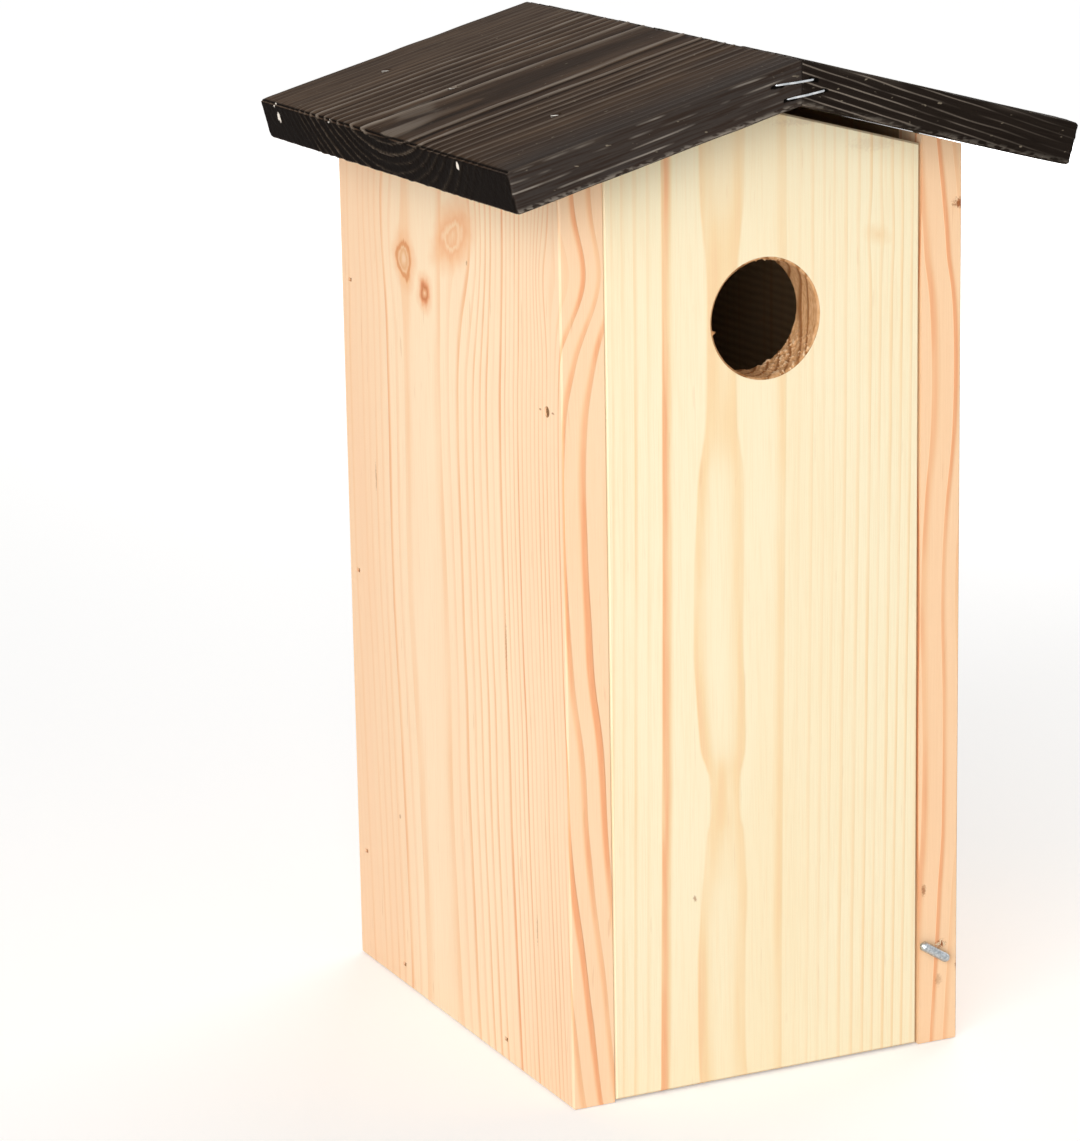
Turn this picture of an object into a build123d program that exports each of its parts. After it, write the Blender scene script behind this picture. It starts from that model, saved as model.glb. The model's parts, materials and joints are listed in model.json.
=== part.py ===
from build123d import *
import os
from math import acos, atan2, cos, hypot, radians, sin, tan

# Bird nest box: a small wooden house with a front that swings out on two
# pivot nails, a mitred roof of two stained boards and a bent wire turn hook.
# Millimetres. X runs to the right as seen from the front, the front looks
# along -Y, Z is up, and the origin is the centre of the base.

# The house
house_width = 120.0  # over the outer faces of the side walls
house_depth = 147.0  # front edges of the side walls to the rear face
eave_height = 253.3  # base to the roof's underside, at the outer faces
roof_pitch = 15.0  # degrees, the same on both slopes

# The boards
side_thickness = 12.5
back_thickness = 12.5
floor_thickness = 12.5
door_thickness = 12.5
roof_thickness = 12.5
board_edge_bevel = 0.5  # eased edges of the bare boards
roof_edge_radius = 1.2  # the roof's edges are worn rounder
front_overhang = 20.6  # roof past the front edges of the side walls
eave_overhang = 21.3  # side face to the lower edge of the roof's square cut end

# The swinging front
door_gap_left = 0.35  # the front hangs a little nearer to the left wall
door_gap_right = 0.75
door_gap_top = 2.5  # upright gap under the roof
door_gap_bottom = 0.5
door_gap_floor = 0.4  # to the front edge of the floor, which it closes against
pivot_drop = 62.3  # pivot nails below the eave height
pivot_setback = 9.0  # pivot nails behind the front face
pivot_clearance = 0.06  # radial, the front turns freely on its nails
pivot_end_gap = 0.6  # bore past the point of the nail
entrance_diameter = 32.0
entrance_drop = 57.9  # middle of the entrance below the roof's underside at the ridge
entrance_rim_bevel = 0.5

# The floor's drain holes and the back wall's hanging hole
drain_diameter = 8.0
drain_inset = 26.0  # hole centres from the edges of the floor board
hanging_hole_diameter = 6.0  # in line with the entrance, for a screwdriver

# Brads of flat wire that hold the boards
brad_wire_width = 1.3
brad_wire_thickness = 1.1
brad_head_rim = 0.4  # head past the wire, on its two narrow sides
brad_head_thickness = 0.9
brad_length = 30.0
brad_point = 2.0  # length of the chisel point
brad_sink = 0.6  # heads are driven this far below the face
floor_brad_front = 30.0  # from the front edge of the floor board
floor_brad_rear = 20.5  # from the rear edge of the floor board
back_brad_bottom = 33.6  # lowest brad into the back wall, above the base
back_brad_drop = 47.0  # highest brad into the back wall, below the eave height
back_brad_count = 3
rear_brad_inset = 32.0  # brads through the back wall, from its side edges
roof_brad_front = 14.0  # first roof brad behind the front edges of the walls
roof_brad_middle = 68.0  # middle roof brad in front of the rear face
roof_brad_rear = 22.0  # last roof brad in front of the rear face

# Pivot nails
pivot_diameter = 2.2
pivot_head_rim = 0.4
pivot_head_thickness = 1.0
pivot_nail_length = 36.0
pivot_nail_point = 2.6
pivot_nail_sink = 0.5

# Staples across the mitre, on the front end of the roof
staple_crown = 10.8  # centre to centre of the legs
staple_leg = 10.0
staple_wire_width = 1.2
staple_wire_thickness = 0.6
staple_bend_radius = 0.7
upper_staple_shift = -2.2  # crown's middle, sideways from the ridge
upper_staple_drop = 6.2  # crown's middle, below the top of the ridge
upper_staple_turn = 4.8  # degrees, right end up
lower_staple_shift = 1.0
lower_staple_drop = 9.6
lower_staple_turn = 8.6

# Turn hook in the front edge of the right wall
hook_wire_diameter = 2.7
hook_inset = 4.3  # screw axis in from the outer face
hook_height = 24.6
hook_catch = 1.0  # arm past the edge of the front, once it is turned level
hook_rest_gap = 0.3  # sideways gap at rest, where the front can swing past
hook_screw_length = 15.0  # part of the wire that is in the wood
hook_tip_share = 0.6  # bevel of the tip, of the wire's radius
hook_point_share = 0.7  # bevel of the point, of the wire's radius
hook_lift = 0.5  # gap between the arm and the wood behind it
hook_clearance = 0.05  # radial, in its bore
hook_end_gap = 0.5

# Shared places, all worked out from the sizes above
slope = tan(radians(roof_pitch))
half_width = house_width / 2
inner_half_width = half_width - side_thickness
front_y = -house_depth / 2
rear_y = house_depth / 2
floor_front_y = front_y + door_thickness + door_gap_floor
back_front_y = rear_y - back_thickness
door_left = -inner_half_width + door_gap_left
door_right = inner_half_width - door_gap_right
pivot_y = front_y + pivot_setback
pivot_height = eave_height - pivot_drop
roof_rise = roof_thickness / cos(radians(roof_pitch))
rear_plane = Plane.XZ.offset(-rear_y)


def underside(x):
    """Height of the roof's underside at a place across the house."""
    return eave_height + (half_width - abs(x)) * slope


ridge_top = underside(0) + roof_rise
entrance_height = underside(0) - entrance_drop
pivot_head_diameter = pivot_diameter + 2 * pivot_head_rim


def save(piece, name):
    """Label a finished piece and write it to its own file."""
    piece.part.label = name
    export_step(piece.part, f"parts/{name}.step")


def flat_brad(head_top):
    """A brad that hangs from a mouth at the origin, its head from head_top down."""
    wire = brad_wire_width / 2
    head = wire + brad_head_rim
    head_foot = -brad_sink - brad_head_thickness
    point_foot = -brad_sink - brad_length
    right_side = [(head, head_top), (head, head_foot), (wire, head_foot), (wire, point_foot + brad_point)]
    left_side = [(-x, z) for x, z in reversed(right_side)]
    with BuildPart() as brad:
        with BuildSketch(Plane.XZ):
            with BuildLine():
                Polyline(*right_side, (0, point_foot), *left_side, close=True)
            make_face()
        extrude(amount=brad_wire_thickness / 2, both=True)
    return brad.part


brad_form = flat_brad(-brad_sink)
brad_slot = flat_brad(0)

with BuildPart() as pivot_form:
    with BuildSketch(Plane.XZ):
        with BuildLine():
            Polyline(
                (0, -pivot_nail_sink),
                (pivot_head_diameter / 2, -pivot_nail_sink),
                (pivot_head_diameter / 2, -pivot_nail_sink - pivot_head_thickness),
                (pivot_diameter / 2, -pivot_nail_sink - pivot_head_thickness),
                (pivot_diameter / 2, pivot_nail_point - pivot_nail_length - pivot_nail_sink),
                (0, -pivot_nail_length - pivot_nail_sink),
                close=True,
            )
        make_face()
    revolve(axis=Axis.Z)


def place(form, mouths, mode=Mode.ADD):
    """Put a copy of a fastener at each mouth, or cut its slot there."""
    with Locations(*mouths):
        add(form, mode=mode)


# Mouths of the slots and bores: planes on the outer faces, looking outwards
def side_mouths(sign, places):
    """Mouths on a side face, at (y, z) places."""
    return [Plane(origin=(sign * half_width, y, z), x_dir=(0, 1, 0), z_dir=(sign, 0, 0)) for y, z in places]


floor_brad_places = [
    (floor_front_y + floor_brad_front, floor_thickness / 2),
    (back_front_y - floor_brad_rear, floor_thickness / 2),
]
back_brad_step = (eave_height - back_brad_drop - back_brad_bottom) / (back_brad_count - 1)
back_brad_places = [
    (rear_y - back_thickness / 2, back_brad_bottom + step * back_brad_step) for step in range(back_brad_count)
]
rear_brad_x = inner_half_width - rear_brad_inset
rear_mouths = [
    Plane(origin=(x, rear_y, floor_thickness / 2), x_dir=(1, 0, 0), z_dir=(0, 1, 0))
    for x in (-rear_brad_x, rear_brad_x)
]
pivot_places = [(pivot_y, pivot_height)]
roof_brad_ys = (front_y + roof_brad_front, rear_y - roof_brad_middle, rear_y - roof_brad_rear)


def roof_mouths(sign):
    """Mouths of upright brads over the middle of a side wall."""
    x = half_width - side_thickness / 2
    z = underside(x) + roof_rise + (brad_wire_width / 2 + brad_head_rim) * slope
    return [Plane(origin=(sign * x, y, z)) for y in roof_brad_ys]


# Places of the staples: crown on the roof's front end, legs running back
def staple_place(shift, drop, turn):
    """A plane whose Z looks out of the roof's front end, turned like the staple."""
    face = Plane(origin=(shift, front_y - front_overhang, ridge_top - drop), x_dir=(1, 0, 0), z_dir=(0, -1, 0))
    return face.rotated((0, 0, turn))


staple_places = [
    staple_place(upper_staple_shift, upper_staple_drop, upper_staple_turn),
    staple_place(lower_staple_shift, lower_staple_drop, lower_staple_turn),
]

with BuildPart() as staple_form:
    staple_mid = staple_wire_thickness / 2
    with BuildLine() as staple_path:
        FilletPolyline(
            (-staple_crown / 2, 0, -staple_leg),
            (-staple_crown / 2, 0, staple_mid),
            (staple_crown / 2, 0, staple_mid),
            (staple_crown / 2, 0, -staple_leg),
            radius=staple_bend_radius,
        )
    with BuildSketch(Plane(origin=staple_path.line @ 0, x_dir=(1, 0, 0), z_dir=(0, 0, 1))):
        Rectangle(staple_wire_thickness, staple_wire_width)
    sweep()

# The hook's screw axis and its arm. At rest the arm is turned up from level
# by just the angle at which its bevelled tip clears the edge of the front.
hook_x = half_width - hook_inset
hook_radius = hook_wire_diameter / 2
hook_tip_bevel = hook_tip_share * hook_radius
hook_bend_radius = hook_lift + hook_radius
hook_arm_y = front_y - hook_bend_radius
hook_edge_distance = hook_x - door_right
hook_reach = hook_edge_distance + hook_catch
hook_tip_corners = (
    (hook_reach, hook_radius - hook_tip_bevel),
    (hook_reach - hook_tip_bevel, hook_radius),
)
hook_rest_turn = max(
    acos((hook_edge_distance - hook_rest_gap) / hypot(along, across)) + atan2(across, along)
    for along, across in hook_tip_corners
)
hook_tip = (
    hook_x - hook_reach * cos(hook_rest_turn),
    hook_arm_y,
    hook_height + hook_reach * sin(hook_rest_turn),
)
hook_mouth = Plane(origin=(hook_x, front_y, hook_height), x_dir=(1, 0, 0), z_dir=(0, -1, 0))

os.makedirs("parts", exist_ok=True)

# Side walls, with bevelled tops that the roof boards lie on
for side, sign in (("left", -1), ("right", 1)):
    outer_x = sign * half_width
    inner_x = sign * inner_half_width
    with BuildPart() as side_wall:
        with BuildSketch(rear_plane):
            with BuildLine():
                Polyline(
                    (outer_x, 0),
                    (inner_x, 0),
                    (inner_x, underside(inner_x)),
                    (outer_x, underside(outer_x)),
                    close=True,
                )
            make_face()
        extrude(amount=house_depth)
        outer_face = side_wall.faces().sort_by(Axis.X)[-1 if sign > 0 else 0]
        chamfer(outer_face.edges().filter_by(Axis.Z) + outer_face.edges().sort_by(Axis.Z)[:1], board_edge_bevel)
        place(brad_slot, side_mouths(sign, floor_brad_places + back_brad_places), Mode.SUBTRACT)
        place(brad_slot, roof_mouths(sign), Mode.SUBTRACT)
        with Locations(*side_mouths(sign, pivot_places)):
            CounterBoreHole(
                radius=pivot_diameter / 2,
                counter_bore_radius=pivot_head_diameter / 2,
                counter_bore_depth=pivot_nail_sink + pivot_head_thickness,
            )
        if side == "right":
            with Locations(hook_mouth):
                Hole(radius=hook_radius + hook_clearance, depth=hook_screw_length + hook_end_gap)
    save(side_wall, f"{side}_side_wall")

# Back wall, between the side walls and up to the roof
with BuildPart() as back_wall:
    with BuildSketch(rear_plane):
        with BuildLine():
            Polyline(
                (-inner_half_width, 0),
                (inner_half_width, 0),
                (inner_half_width, underside(inner_half_width)),
                (0, underside(0)),
                (-inner_half_width, underside(inner_half_width)),
                close=True,
            )
        make_face()
    extrude(amount=back_thickness)
    with Locations(rear_plane.offset(-back_thickness)):
        with Locations((0, entrance_height)):
            Hole(radius=hanging_hole_diameter / 2)
    for sign in (-1, 1):
        place(brad_slot, side_mouths(sign, back_brad_places), Mode.SUBTRACT)
    place(brad_slot, rear_mouths, Mode.SUBTRACT)
save(back_wall, "back_wall")

# Floor board, between the walls and behind the swinging front
with BuildPart() as floor_board:
    floor_depth = back_front_y - floor_front_y
    with BuildSketch(Plane.XY):
        with Locations((0, (floor_front_y + back_front_y) / 2)):
            Rectangle(2 * inner_half_width, floor_depth)
            drain_spacing_x = 2 * (inner_half_width - drain_inset)
            drain_spacing_y = floor_depth - 2 * drain_inset
            with GridLocations(drain_spacing_x, drain_spacing_y, 2, 2):
                Circle(drain_diameter / 2, mode=Mode.SUBTRACT)
    extrude(amount=floor_thickness)
    for sign in (-1, 1):
        place(brad_slot, side_mouths(sign, floor_brad_places), Mode.SUBTRACT)
    place(brad_slot, rear_mouths, Mode.SUBTRACT)
save(floor_board, "floor_board")

# Swinging front: gable top under the roof, entrance, and a bore in each edge
with BuildPart() as front_door:
    with BuildSketch(Plane.XZ.offset(-front_y - door_thickness)):
        with BuildLine():
            Polyline(
                (door_left, door_gap_bottom),
                (door_right, door_gap_bottom),
                (door_right, underside(door_right) - door_gap_top),
                (0, underside(0) - door_gap_top),
                (door_left, underside(door_left) - door_gap_top),
                close=True,
            )
        make_face()
    extrude(amount=door_thickness)
    chamfer(front_door.faces().sort_by(Axis.Y)[0].edges(), board_edge_bevel)
    with Locations(Plane.XZ.offset(-front_y)):
        with Locations((0, entrance_height)):
            Hole(radius=entrance_diameter / 2)
    chamfer(front_door.edges().filter_by(GeomType.CIRCLE), entrance_rim_bevel)
    for sign in (-1, 1):
        with Locations(*side_mouths(sign, pivot_places)):
            Hole(
                radius=pivot_diameter / 2 + pivot_clearance,
                depth=pivot_nail_sink + pivot_nail_length + pivot_end_gap,
            )
save(front_door, "front_door")

# Roof boards, meeting at the ridge in an upright mitre
eave_lower = (half_width + eave_overhang, underside(half_width + eave_overhang))
eave_upper = (
    eave_lower[0] + roof_thickness * sin(radians(roof_pitch)),
    eave_lower[1] + roof_thickness * cos(radians(roof_pitch)),
)
for side, sign in (("left", -1), ("right", 1)):
    with BuildPart() as roof_board:
        with BuildSketch(rear_plane):
            with BuildLine():
                Polyline(
                    (0, underside(0)),
                    (sign * eave_lower[0], eave_lower[1]),
                    (sign * eave_upper[0], eave_upper[1]),
                    (0, ridge_top),
                    close=True,
                )
            make_face()
        extrude(amount=house_depth + front_overhang)
        mitre_face = roof_board.faces().sort_by(Axis.X)[0 if sign > 0 else -1]
        worn_edges = [edge for edge in roof_board.edges() if edge not in mitre_face.edges()]
        fillet(worn_edges, roof_edge_radius)
        place(brad_slot, roof_mouths(sign), Mode.SUBTRACT)
        place(staple_form.part, staple_places, Mode.SUBTRACT)
    save(roof_board, f"roof_board_{side}")

# Brads and pivot nails, each in its own slot or bore
for side, sign in (("left", -1), ("right", 1)):
    with BuildPart() as floor_brads:
        place(brad_form, side_mouths(sign, floor_brad_places))
    save(floor_brads, f"floor_brads_{side}")
    with BuildPart() as back_brads:
        place(brad_form, side_mouths(sign, back_brad_places))
    save(back_brads, f"back_wall_brads_{side}")
    with BuildPart() as roof_brads:
        place(brad_form, roof_mouths(sign))
    save(roof_brads, f"roof_brads_{side}")
    with BuildPart() as pivot_nail:
        place(pivot_form.part, side_mouths(sign, pivot_places))
    save(pivot_nail, f"pivot_nail_{side}")

with BuildPart() as rear_brads:
    place(brad_form, rear_mouths)
save(rear_brads, "floor_brads_rear")

# Staples that hold the mitre together where the roof overhangs the front
with BuildPart() as ridge_staples:
    place(staple_form.part, staple_places)
save(ridge_staples, "ridge_staples")

# Turn hook: one bent wire, its arm in front of the wall and its screw inside
with BuildPart() as turn_hook:
    with BuildLine() as hook_path:
        FilletPolyline(
            (hook_x, front_y + hook_screw_length, hook_height),
            (hook_x, hook_arm_y, hook_height),
            hook_tip,
            radius=hook_bend_radius,
        )
    with BuildSketch(Plane(origin=hook_path.line @ 0, z_dir=hook_path.line % 0)):
        Circle(hook_radius)
    sweep()
    tip_face = turn_hook.faces().sort_by_distance(hook_tip)[0]
    chamfer(tip_face.edges(), hook_tip_bevel)
    point_face = turn_hook.faces().sort_by(Axis.Y)[-1]
    chamfer(point_face.edges(), hook_point_share * hook_radius)
save(turn_hook, "turn_hook")
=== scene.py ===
# %% [markdown]
# # A nest box, dressed in its real materials
# The box is a simple thing: five planed spruce boards, two dark roof boards, a handful of small nails
# and one bent wire hook. Its solid model is already made. In this lesson we dress it, so that it looks
# as it does in the photograph: pale wood with its growth rings, a brushed and stained roof, and metal
# that has come straight from a box of fixings.
#
# We start by loading the solids. Blender counts in metres, and the box stands on z = 0 with its front
# looking along minus y. Most sizes below are written in millimetres, as a joiner would give them. The
# solids are never moved: we only give them materials or lay finer pieces over them.

# %% Load the box
import json
from math import cos, inf, pi, radians, sin, tan

import bmesh
import bpy
import numpy as np
from mathutils import Matrix, Vector


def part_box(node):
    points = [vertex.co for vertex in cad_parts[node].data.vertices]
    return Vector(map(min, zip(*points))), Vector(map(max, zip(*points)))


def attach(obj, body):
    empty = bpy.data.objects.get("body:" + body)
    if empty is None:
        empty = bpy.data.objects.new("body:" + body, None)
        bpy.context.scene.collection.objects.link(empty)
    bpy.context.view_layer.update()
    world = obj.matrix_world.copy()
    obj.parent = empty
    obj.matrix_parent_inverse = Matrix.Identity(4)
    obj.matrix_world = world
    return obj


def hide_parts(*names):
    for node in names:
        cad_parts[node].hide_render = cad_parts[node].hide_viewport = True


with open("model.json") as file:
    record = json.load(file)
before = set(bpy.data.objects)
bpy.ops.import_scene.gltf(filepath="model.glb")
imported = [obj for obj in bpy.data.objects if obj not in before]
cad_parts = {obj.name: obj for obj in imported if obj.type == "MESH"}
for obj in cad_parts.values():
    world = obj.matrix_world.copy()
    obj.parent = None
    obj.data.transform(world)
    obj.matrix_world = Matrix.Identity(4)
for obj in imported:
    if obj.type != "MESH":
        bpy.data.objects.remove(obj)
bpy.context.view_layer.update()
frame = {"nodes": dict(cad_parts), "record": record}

nodes = frame["nodes"]
MM = 0.001
board_thick = 12.5
front_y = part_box("left_side_wall")[0].y / MM
left_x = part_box("left_side_wall")[0].x / MM
print("front face at y =", round(front_y, 1), "mm, left face at x =", round(left_x, 1), "mm")

# %% [markdown]
# ## The camera
# The photograph was taken from the front left and from a little above, with a long lens, so that the
# box hardly tapers. The place, the turn and the lens below put the corners of the box close to where
# they are in the photograph. A camera in Blender looks along its own minus z, so we first tip it up from
# looking straight down, then turn it round the upright axis. The small roll is that of a hand-held camera.

# %% Camera
camera_data = bpy.data.cameras.new("photo_camera")
camera = bpy.data.objects.new("photo_camera", camera_data)
bpy.context.scene.collection.objects.link(camera)
camera_data.sensor_width = 36.0
camera_data.lens = 129.24
camera_data.clip_start, camera_data.clip_end = 0.05, 50.0
camera_place = (-0.5056, -1.0123, 0.4086)
turn_left, look_down, roll = radians(25.040), radians(13.952), radians(-1.058)
camera.matrix_world = (
    Matrix.Translation(camera_place)
    @ Matrix.Rotation(-turn_left, 4, "Z")
    @ Matrix.Rotation(pi / 2 - look_down, 4, "X")
    @ Matrix.Rotation(roll, 4, "Z")
)
bpy.context.scene.camera = camera
bpy.context.scene.view_settings.view_transform = "Standard"
print("lens", camera_data.lens, "mm, distance", round(camera.location.length, 3), "m")

# %% [markdown]
# ## A small kit for materials
# A material in Blender is a tree of nodes, and a few helpers keep the trees readable. The first turns a
# colour written as a web hex code into the linear numbers that Blender computes with. The main one adds
# a node: it takes the node's kind, what goes into its sockets, and its settings, and hands back one
# output, so that the next node can use it. Sockets are given in their order, or by name or number. The
# MapRange node, which we use most, takes a value, two numbers to read it between, and two to write it
# between. Curves and colour ramps take their points in the same call. Another helper paints colours over
# each other, each by a share from 0 to 1.

# %% Colours and nodes
def colour(code, alpha=1.0):
    """A hex colour, as linear red, green, blue and alpha."""
    parts = [int(code[k:k + 2], 16) / 255 for k in (1, 3, 5)]
    return [p / 12.92 if p <= 0.04045 else ((p + 0.055) / 1.055) ** 2.4 for p in parts] + [alpha]


def plug(tree, node, sockets):
    """Links or sets a node's sockets. A hex code becomes a colour."""
    for key, value in sockets.items() if isinstance(sockets, dict) else enumerate(sockets):
        if isinstance(value, bpy.types.NodeSocket):
            tree.links.new(value, node.inputs[key])
        else:
            node.inputs[key].default_value = colour(value) if isinstance(value, str) else value


def add(tree, kind, sockets=(), out=0, points=(), stops=(), handles="AUTO", **settings):
    """Adds a node, such as "Math ADD" or "Mix RGBA", and returns one of its outputs."""
    kind, _, way = kind.partition(" ")
    made = tree.nodes.new("ShaderNode" + kind)
    if kind == "Mix":
        made.data_type, out = way, 2
    elif way:
        made.operation = way
    for key, value in settings.items():
        setattr(made, key, value)
    plug(tree, made, sockets)
    if points:
        line = made.mapping.curves[0]
        for x, y in points[1:-1]:
            line.points.new(x, y)
        for point, (x, y) in zip(line.points, points):
            point.location = (x, y)
            point.handle_type = handles
        made.mapping.update()
    if stops:
        ramp = made.color_ramp
        while len(ramp.elements) < len(stops):
            ramp.elements.new(1.0)
        for element, (place, tint) in zip(ramp.elements, stops):
            element.position, element.color = place, tint
    return made.outputs[out]


def follow(tree, place, points, handles="AUTO"):
    """Reads a drawn line: at a place in mm it gives the value drawn there."""
    first, last = points[0][0], points[-1][0]
    low = min(value for _, value in points)
    span = max(max(value for _, value in points) - low, 0.001)
    share = add(tree, "Math MULTIPLY_ADD", (place, 1 / (last - first), -first / (last - first)))
    drawn = [((x - first) / (last - first), (y - low) / span) for x, y in points]
    value = add(tree, "FloatCurve", {"Value": share}, points=drawn, handles=handles)
    return add(tree, "Math MULTIPLY_ADD", (value, span, low))


def in_mm(tree):
    """Where a point is on the box, in mm."""
    return add(tree, "VectorMath SCALE", {0: add(tree, "TexCoord", out="Object"), "Scale": 1 / MM})


def cloudy(tree, mm, sizes, detail):
    """Soft noise, in clouds of the given sizes in mm along x, y and z."""
    scaled = add(tree, "VectorMath MULTIPLY", (mm, [1 / size for size in sizes]))
    return add(tree, "TexNoise", {"Vector": scaled, "Scale": 1.0, "Detail": detail})


def away_from(tree, mm, middle, sizes):
    """How far a point is from a middle, counted in sizes along x, y and z."""
    away = add(tree, "VectorMath SUBTRACT", (mm, middle))
    away = add(tree, "VectorMath MULTIPLY", (away, [1 / size for size in sizes]))
    return add(tree, "VectorMath LENGTH", (away,), out=1)


def painted(tree, under, *layers):
    """Paints colours over a colour, one after the other, each by its share."""
    for share, paint in layers:
        under = add(tree, "Mix RGBA", {0: share, 6: under, 7: paint})
    return under


def new_material(name):
    """An empty node material, its tree and its shader."""
    made = bpy.data.materials.new(name)
    made.use_nodes = True
    return made, made.node_tree, made.node_tree.nodes["Principled BSDF"]


print("white is", [round(v, 3) for v in colour("#FFFFFF")], "and middle grey", round(colour("#808080")[0], 3))

# %% [markdown]
# ## The studio
# The box stands on a plain white floor in even, soft light. The sky lights everything from all round,
# one big soft lamp stands near the camera, so that the front and the left wall are equally bright, and a
# weaker one behind keeps the far sides from going dull. The background has to be pure white without
# flooding the wood with light. So the sky has two strengths: rays from the camera, and rays that bounce
# off metal or pass through glass, see white, and all other rays see the weaker light that the wood is
# lit by. The floor is given the same trick, which leaves the soft shadow of the box on it. Further out
# it glows more, so that it fades into the white sky.

# %% Sky, floor and lamps
def seen_directly(tree):
    """1 for rays from the camera, and for rays mirrored or let through on their way to it."""
    path = add(tree, "LightPath").node.outputs
    mirrored = add(tree, "Math MAXIMUM", (path["Is Glossy Ray"], path["Is Transmission Ray"]))
    return add(tree, "Math MAXIMUM", (path["Is Camera Ray"], mirrored))


world = bpy.data.worlds.new("studio_sky")
world.use_nodes = True
bpy.context.scene.world = world
tree = world.node_tree
tree.nodes.clear()
lit_by = add(tree, "Background", ("#FFFEFC", 0.37))
looks = add(tree, "Background", ("#FFFFFF", 1.0))
sky = add(tree, "MixShader", (seen_directly(tree), lit_by, looks))
tree.links.new(sky, tree.nodes.new("ShaderNodeOutputWorld").inputs["Surface"])

floor_material, tree, skin = new_material("white_studio_floor")
plug(tree, skin, {"Base Color": "#F4F4F4", "Roughness": 1.0, "Specular IOR Level": 0.0})
away = add(tree, "VectorMath LENGTH", (add(tree, "TexCoord", out="Object"),), out=1)
fade_from, fade_to = 0.9, 1.9  # metres from the box
lift = add(tree, "MapRange", (away, fade_from, fade_to, 0.28, 0.66), interpolation_type="SMOOTHSTEP")
glow = add(tree, "Emission", ("#FFFFFF", lift))
lifted = add(tree, "AddShader", (skin.outputs[0], glow))
shown = add(tree, "MixShader", (seen_directly(tree), skin.outputs[0], lifted))
tree.links.new(shown, tree.nodes["Material Output"].inputs["Surface"])

floor_mesh = bpy.data.meshes.new("studio_floor")
reach, floor_z = 8.0, -0.0002  # just below the base, so that the two faces don't fight
floor_mesh.from_pydata(
    [(-reach, -reach, floor_z), (reach, -reach, floor_z), (reach, reach, floor_z), (-reach, reach, floor_z)],
    [], [(0, 1, 2, 3)])
floor_mesh.materials.append(floor_material)
floor = bpy.data.objects.new("studio_floor", floor_mesh)
bpy.context.scene.collection.objects.link(floor)

lamp_size, lit_place = 1.3, Vector((0, 0, 0.14))
for name, place, watts in (
    ("soft_lamp_front", (-1.12, -1.14, 0.54), 24.5),
    ("soft_lamp_behind", (1.15, 1.05, 0.60), 17.0),
):
    lamp_data = bpy.data.lights.new(name, "AREA")
    lamp_data.energy, lamp_data.size = watts, lamp_size
    lamp = bpy.data.objects.new(name, lamp_data)
    bpy.context.scene.collection.objects.link(lamp)
    lamp.location = place
    lamp.rotation_mode = "QUATERNION"
    lamp.rotation_quaternion = (lit_place - lamp.location).to_track_quat("-Z", "Y")
    print(name, "at", place, "m,", watts, "W")

# %% [markdown]
# ## Growth rings
# Wood is a bundle of tubes that the tree lays down in rings round its heart. Each year starts with pale,
# soft earlywood and ends with a thin darker band of latewood, which stops sharply where the next year
# begins. A board is a flat slice through those rings, so its pattern isn't painted on: it is where the
# slice meets the rings. Where the slice runs nearly along a ring, the bands open into tall arches and
# pointed lenses, and further out they close up into straight fine lines.
#
# We build it the same way. For each board we say where the heart of the tree runs beside it, measure how
# far each point is from that heart, and count rings outward. Two drawn lines let the heart wander
# along the board, because trees don't grow straight. Two more bend only the lenses in the middle of the
# front, and a few spots spread the rings apart round the knots. The end grain then comes out by itself.

# %% Rings
def in_axes(board, across, through, along):
    """Three sizes of a board, put in the order x, y, z."""
    sizes = [0.0, 0.0, 0.0]
    for key, size in (("across", across), ("through", through), ("along", along)):
        sizes[board[key]] = size
    return sizes


def spread_apart(tree, across, along, spots):
    """Moves the rings aside round each spot, as the grain flows round a knot."""
    for at, height, wide, tall, pull in spots:
        aside = add(tree, "Math SUBTRACT", (across, at))
        above = add(tree, "Math SUBTRACT", (along, height))
        near = add(tree, "CombineXYZ", (
            add(tree, "Math MULTIPLY", (aside, 1 / wide)), add(tree, "Math MULTIPLY", (above, 1 / tall))))
        near = add(tree, "VectorMath DOT_PRODUCT", (near, near), out=1)
        near = add(tree, "Math EXPONENT", (add(tree, "Math MULTIPLY", (near, -1.0)),))
        pulled = add(tree, "Math MULTIPLY", (aside, near))
        across = add(tree, "Math MULTIPLY_ADD", (pulled, -pull, across))
    return across


def from_heart(tree, across, through, along, board, sway):
    """How far each point is from the heart of the tree, in mm."""
    beside = add(tree, "Math SUBTRACT", (across, follow(tree, along, board["heart"])))
    behind = add(tree, "Math SUBTRACT", (through, follow(tree, along, board["depth"])))
    if "wander" in board:
        aside = add(tree, "Math ABSOLUTE", (beside,))
        close = add(tree, "MapRange", (aside, 16.0, 9.0), interpolation_type="SMOOTHSTEP")
        off = add(tree, "Math MULTIPLY", (close, follow(tree, along, board["wander"])))
        beside = add(tree, "Math SUBTRACT", (beside, off))
        swell = add(tree, "Math MULTIPLY", (close, follow(tree, along, board["swell"])))
        behind = add(tree, "Math SUBTRACT", (behind, swell))
    beside = add(tree, "Math ADD", (beside, sway))
    return add(tree, "VectorMath LENGTH", (add(tree, "CombineXYZ", (beside, behind)),), out=1)


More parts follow.
